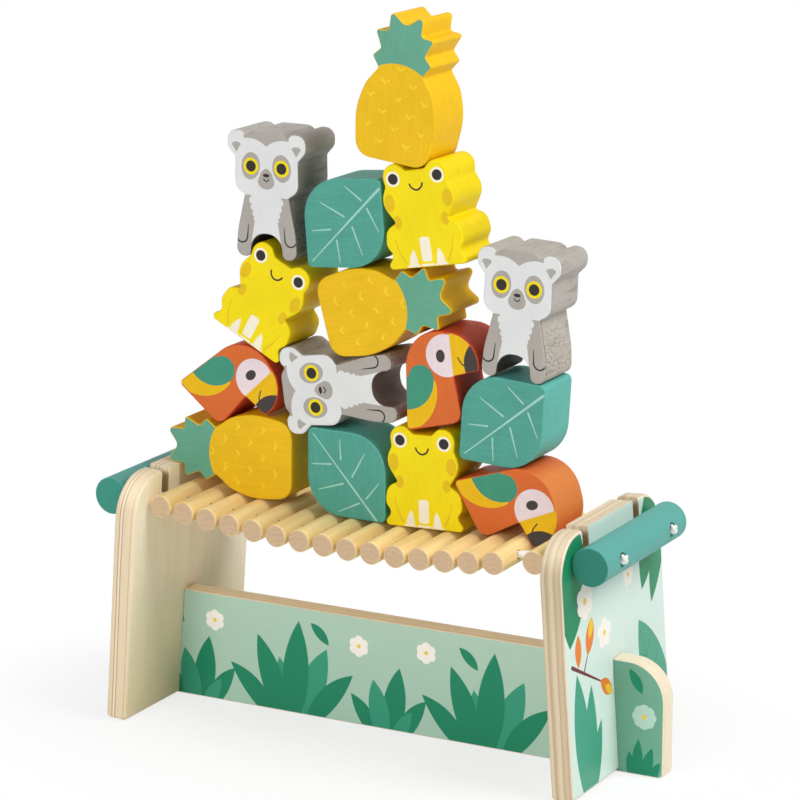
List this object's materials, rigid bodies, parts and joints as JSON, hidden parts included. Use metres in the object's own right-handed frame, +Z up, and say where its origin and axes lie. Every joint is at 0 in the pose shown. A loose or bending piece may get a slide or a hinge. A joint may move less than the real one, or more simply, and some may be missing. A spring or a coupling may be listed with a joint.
{
  "type": "stacking balance game",
  "caption": "Wooden balance game: flat animal, fruit and leaf blocks piled on a slack bridge of dowels strung on cords between two slotted end panels.",
  "frame": {"origin": "on the table under the middle of the bridge, at the centre of the overall footprint", "axes": "+X along the bridge, +Y into its depth away from the blocks' printed front faces, +Z up"},
  "size_m": [0.2668, 0.1, 0.3136],
  "materials": {
    "panel_plywood": "birch plywood, satin lacquer, pale mint printed outer faces",
    "cross_panel_print": "plywood printed in mint with leaves and flowers",
    "anchor_bar_paint": "teal painted wood, satin",
    "cord_white": "white braided cord",
    "dowel_wood": "raw turned wood",
    "frog_yellow": "yellow painted wood, satin",
    "lemur_grey": "white printed faces, grey stained sides",
    "leaf_green": "teal green painted wood, satin",
    "pineapple_gold": "golden printed faces with a sage crown, yellow sides",
    "parrot_orange": "orange painted wood, satin"
  },
  "bodies": {
    "root": {"end_panel_left": "panel_plywood", "end_panel_right": "panel_plywood", "cross_panel": "cross_panel_print", "anchor_bar_left": "anchor_bar_paint", "anchor_bar_right": "anchor_bar_paint", "cord_front": "cord_white", "cord_rear": "cord_white", "dowel_01": "dowel_wood", "dowel_02": "dowel_wood", "dowel_03": "dowel_wood", "dowel_04": "dowel_wood", "dowel_05": "dowel_wood", "dowel_06": "dowel_wood", "dowel_07": "dowel_wood", "dowel_08": "dowel_wood", "dowel_09": "dowel_wood", "dowel_10": "dowel_wood", "dowel_11": "dowel_wood", "dowel_12": "dowel_wood", "dowel_13": "dowel_wood", "dowel_14": "dowel_wood", "dowel_15": "dowel_wood", "dowel_16": "dowel_wood", "pineapple_low": "pineapple_gold", "leaf_low": "leaf_green", "frog_low": "frog_yellow", "parrot_low": "parrot_orange", "parrot_left": "parrot_orange", "lemur_low": "lemur_grey", "parrot_mid": "parrot_orange", "leaf_right": "leaf_green", "frog_left": "frog_yellow", "pineapple_mid": "pineapple_gold", "lemur_right": "lemur_grey", "lemur_left": "lemur_grey", "leaf_top": "leaf_green", "frog_right": "frog_yellow", "pineapple_top": "pineapple_gold"}
  },
  "joints": []
}
